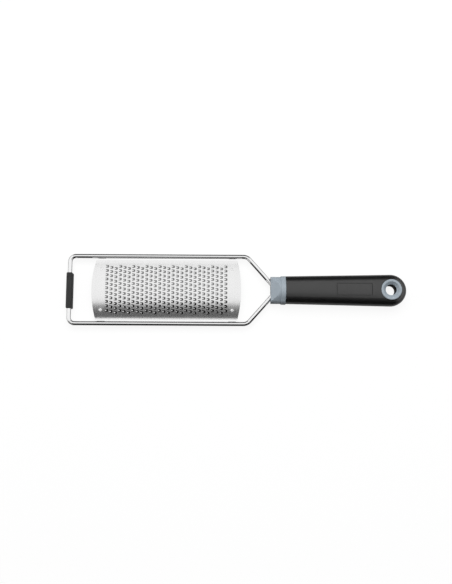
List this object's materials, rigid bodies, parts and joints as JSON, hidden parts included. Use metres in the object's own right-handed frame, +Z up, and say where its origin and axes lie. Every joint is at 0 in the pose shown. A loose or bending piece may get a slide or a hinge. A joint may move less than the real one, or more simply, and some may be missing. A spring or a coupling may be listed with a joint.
{
  "type": "hand rasp grater",
  "caption": "Wide hand rasp: an arched toothed steel blade riveted into a bent wire frame, with a rubber front foot and a plastic handle with a hang hole.",
  "frame": {"origin": "on the table, under the middle of the whole tool's length and width", "axes": "+X along the tool to the handle's end, +Y across to the far rail, +Z up from the toothed face"},
  "size_m": [0.3194, 0.068, 0.018],
  "materials": {
    "polished_wire": "polished stainless steel rod",
    "brushed_blade": "satin stainless sheet, brushed across",
    "strap_steel": "plain rolled stainless strip",
    "rivet_steel": "smooth steel rivet",
    "foot_rubber": "matt black rubber",
    "grey_plastic": "satin moulded bluish grey plastic",
    "core_plastic": "moulded core plastic",
    "black_plastic": "satin black grip plastic"
  },
  "bodies": {
    "root": {"wire_frame": "polished_wire", "grater_blade": "brushed_blade", "front_strap": "strap_steel", "rear_strap": "strap_steel", "blade_rivets": "rivet_steel", "front_foot": "foot_rubber", "handle_collar": "grey_plastic", "handle_core": "core_plastic", "handle_grip": "black_plastic", "eyelet_ring_top": "grey_plastic", "eyelet_ring_bottom": "grey_plastic"}
  },
  "joints": []
}
